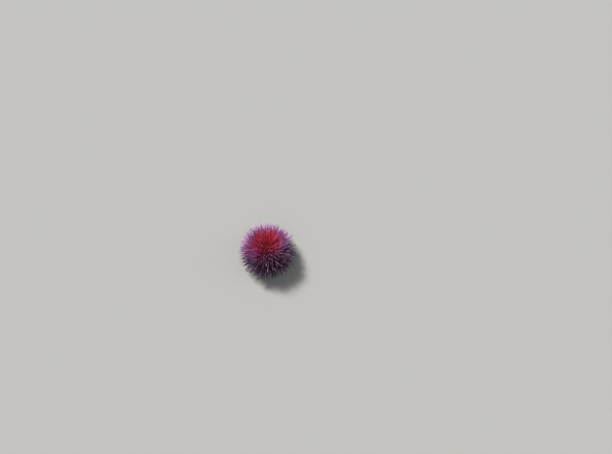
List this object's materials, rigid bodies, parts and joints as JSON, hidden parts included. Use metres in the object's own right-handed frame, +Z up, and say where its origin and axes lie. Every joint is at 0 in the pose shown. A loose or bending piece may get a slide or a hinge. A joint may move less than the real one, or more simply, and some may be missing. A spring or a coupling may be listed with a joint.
{
  "type": "purple sea urchin",
  "caption": "Life-size still model of a sea urchin: domed shell in ten rays, dense tapering spines, standing on sucker feet and short spines.",
  "frame": {"origin": "on the ground, under the middle of the whole round of spines, within 1 mm of the shell's own axis", "axes": "+Z up, from the mouth side to the vent at the top; +X through the middle of the first wide ray"},
  "size_m": [0.0986, 0.0982, 0.0519],
  "materials": {
    "wide_ray": "violet spines over crimson skin, slightly glossy",
    "narrow_ray": "violet spines over crimson skin, slightly glossy",
    "top_plates": "crimson skin over limy plates, satin",
    "vent": "soft dark crimson skin",
    "mouth_skin": "soft wet brownish violet skin",
    "teeth": "polished ivory white"
  },
  "bodies": {
    "root": {"narrow_ray_1": "narrow_ray", "narrow_ray_2": "narrow_ray", "narrow_ray_3": "narrow_ray", "narrow_ray_4": "narrow_ray", "narrow_ray_5": "narrow_ray", "wide_ray_1": "wide_ray", "wide_ray_2": "wide_ray", "wide_ray_3": "wide_ray", "wide_ray_4": "wide_ray", "wide_ray_5": "wide_ray", "top_plates": "top_plates", "vent": "vent", "mouth_skin": "mouth_skin", "teeth": "teeth"}
  },
  "joints": []
}
